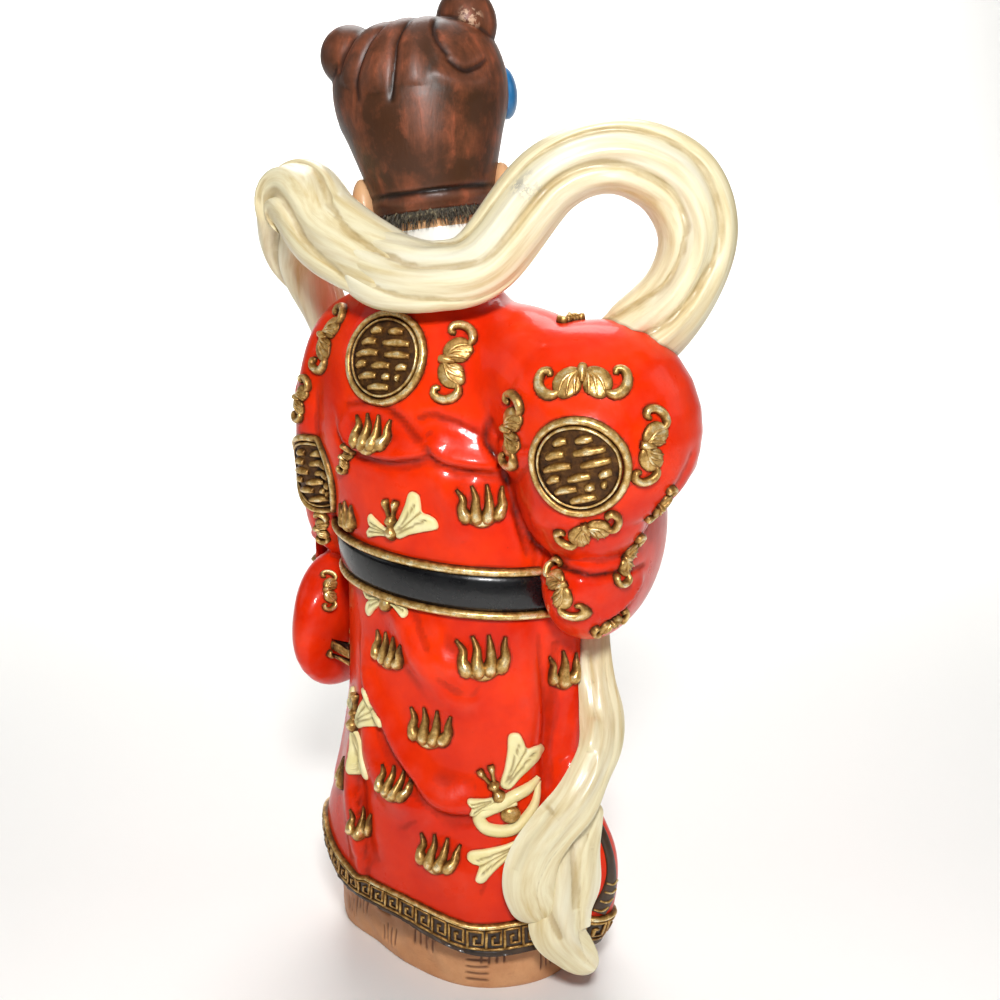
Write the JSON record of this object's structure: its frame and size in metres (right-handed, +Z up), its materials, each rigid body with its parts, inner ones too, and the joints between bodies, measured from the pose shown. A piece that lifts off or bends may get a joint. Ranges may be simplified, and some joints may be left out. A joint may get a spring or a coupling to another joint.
{
  "type": "resin deity figurine",
  "caption": "Standing robed deity figurine cast with its oval plinth, in a belted red robe with gold relief, a long ivory scarf looped at both shoulders and a knotted head cloth.",
  "frame": {"origin": "middle of the plinth's flat underside, on the surface it stands on", "axes": "+Z up along the figure, -Y the way the body faces, +X the figure's own left"},
  "size_m": [0.164, 0.1076, 0.3352],
  "materials": {
    "robe_enamel": "glossy red enamel on cast resin",
    "scarf_ivory": "satin ivory paint with tan streaks",
    "relief_gold": "antiqued gold paint, dark in the hollows",
    "head_cloth_brown": "glossy brown paint, dry brushed",
    "belt_black": "glossy black enamel",
    "border_dark": "dark paint rubbed with gold",
    "skin_tan": "satin skin-coloured paint",
    "hair_grey": "matt dark grey paint",
    "butterfly_cream": "satin pale yellow paint",
    "ornament_blue": "glossy blue enamel",
    "plinth_terracotta": "satin tan wash over engraved strokes"
  },
  "bodies": {
    "root": {"figurine": "robe_enamel"}
  },
  "joints": []
}
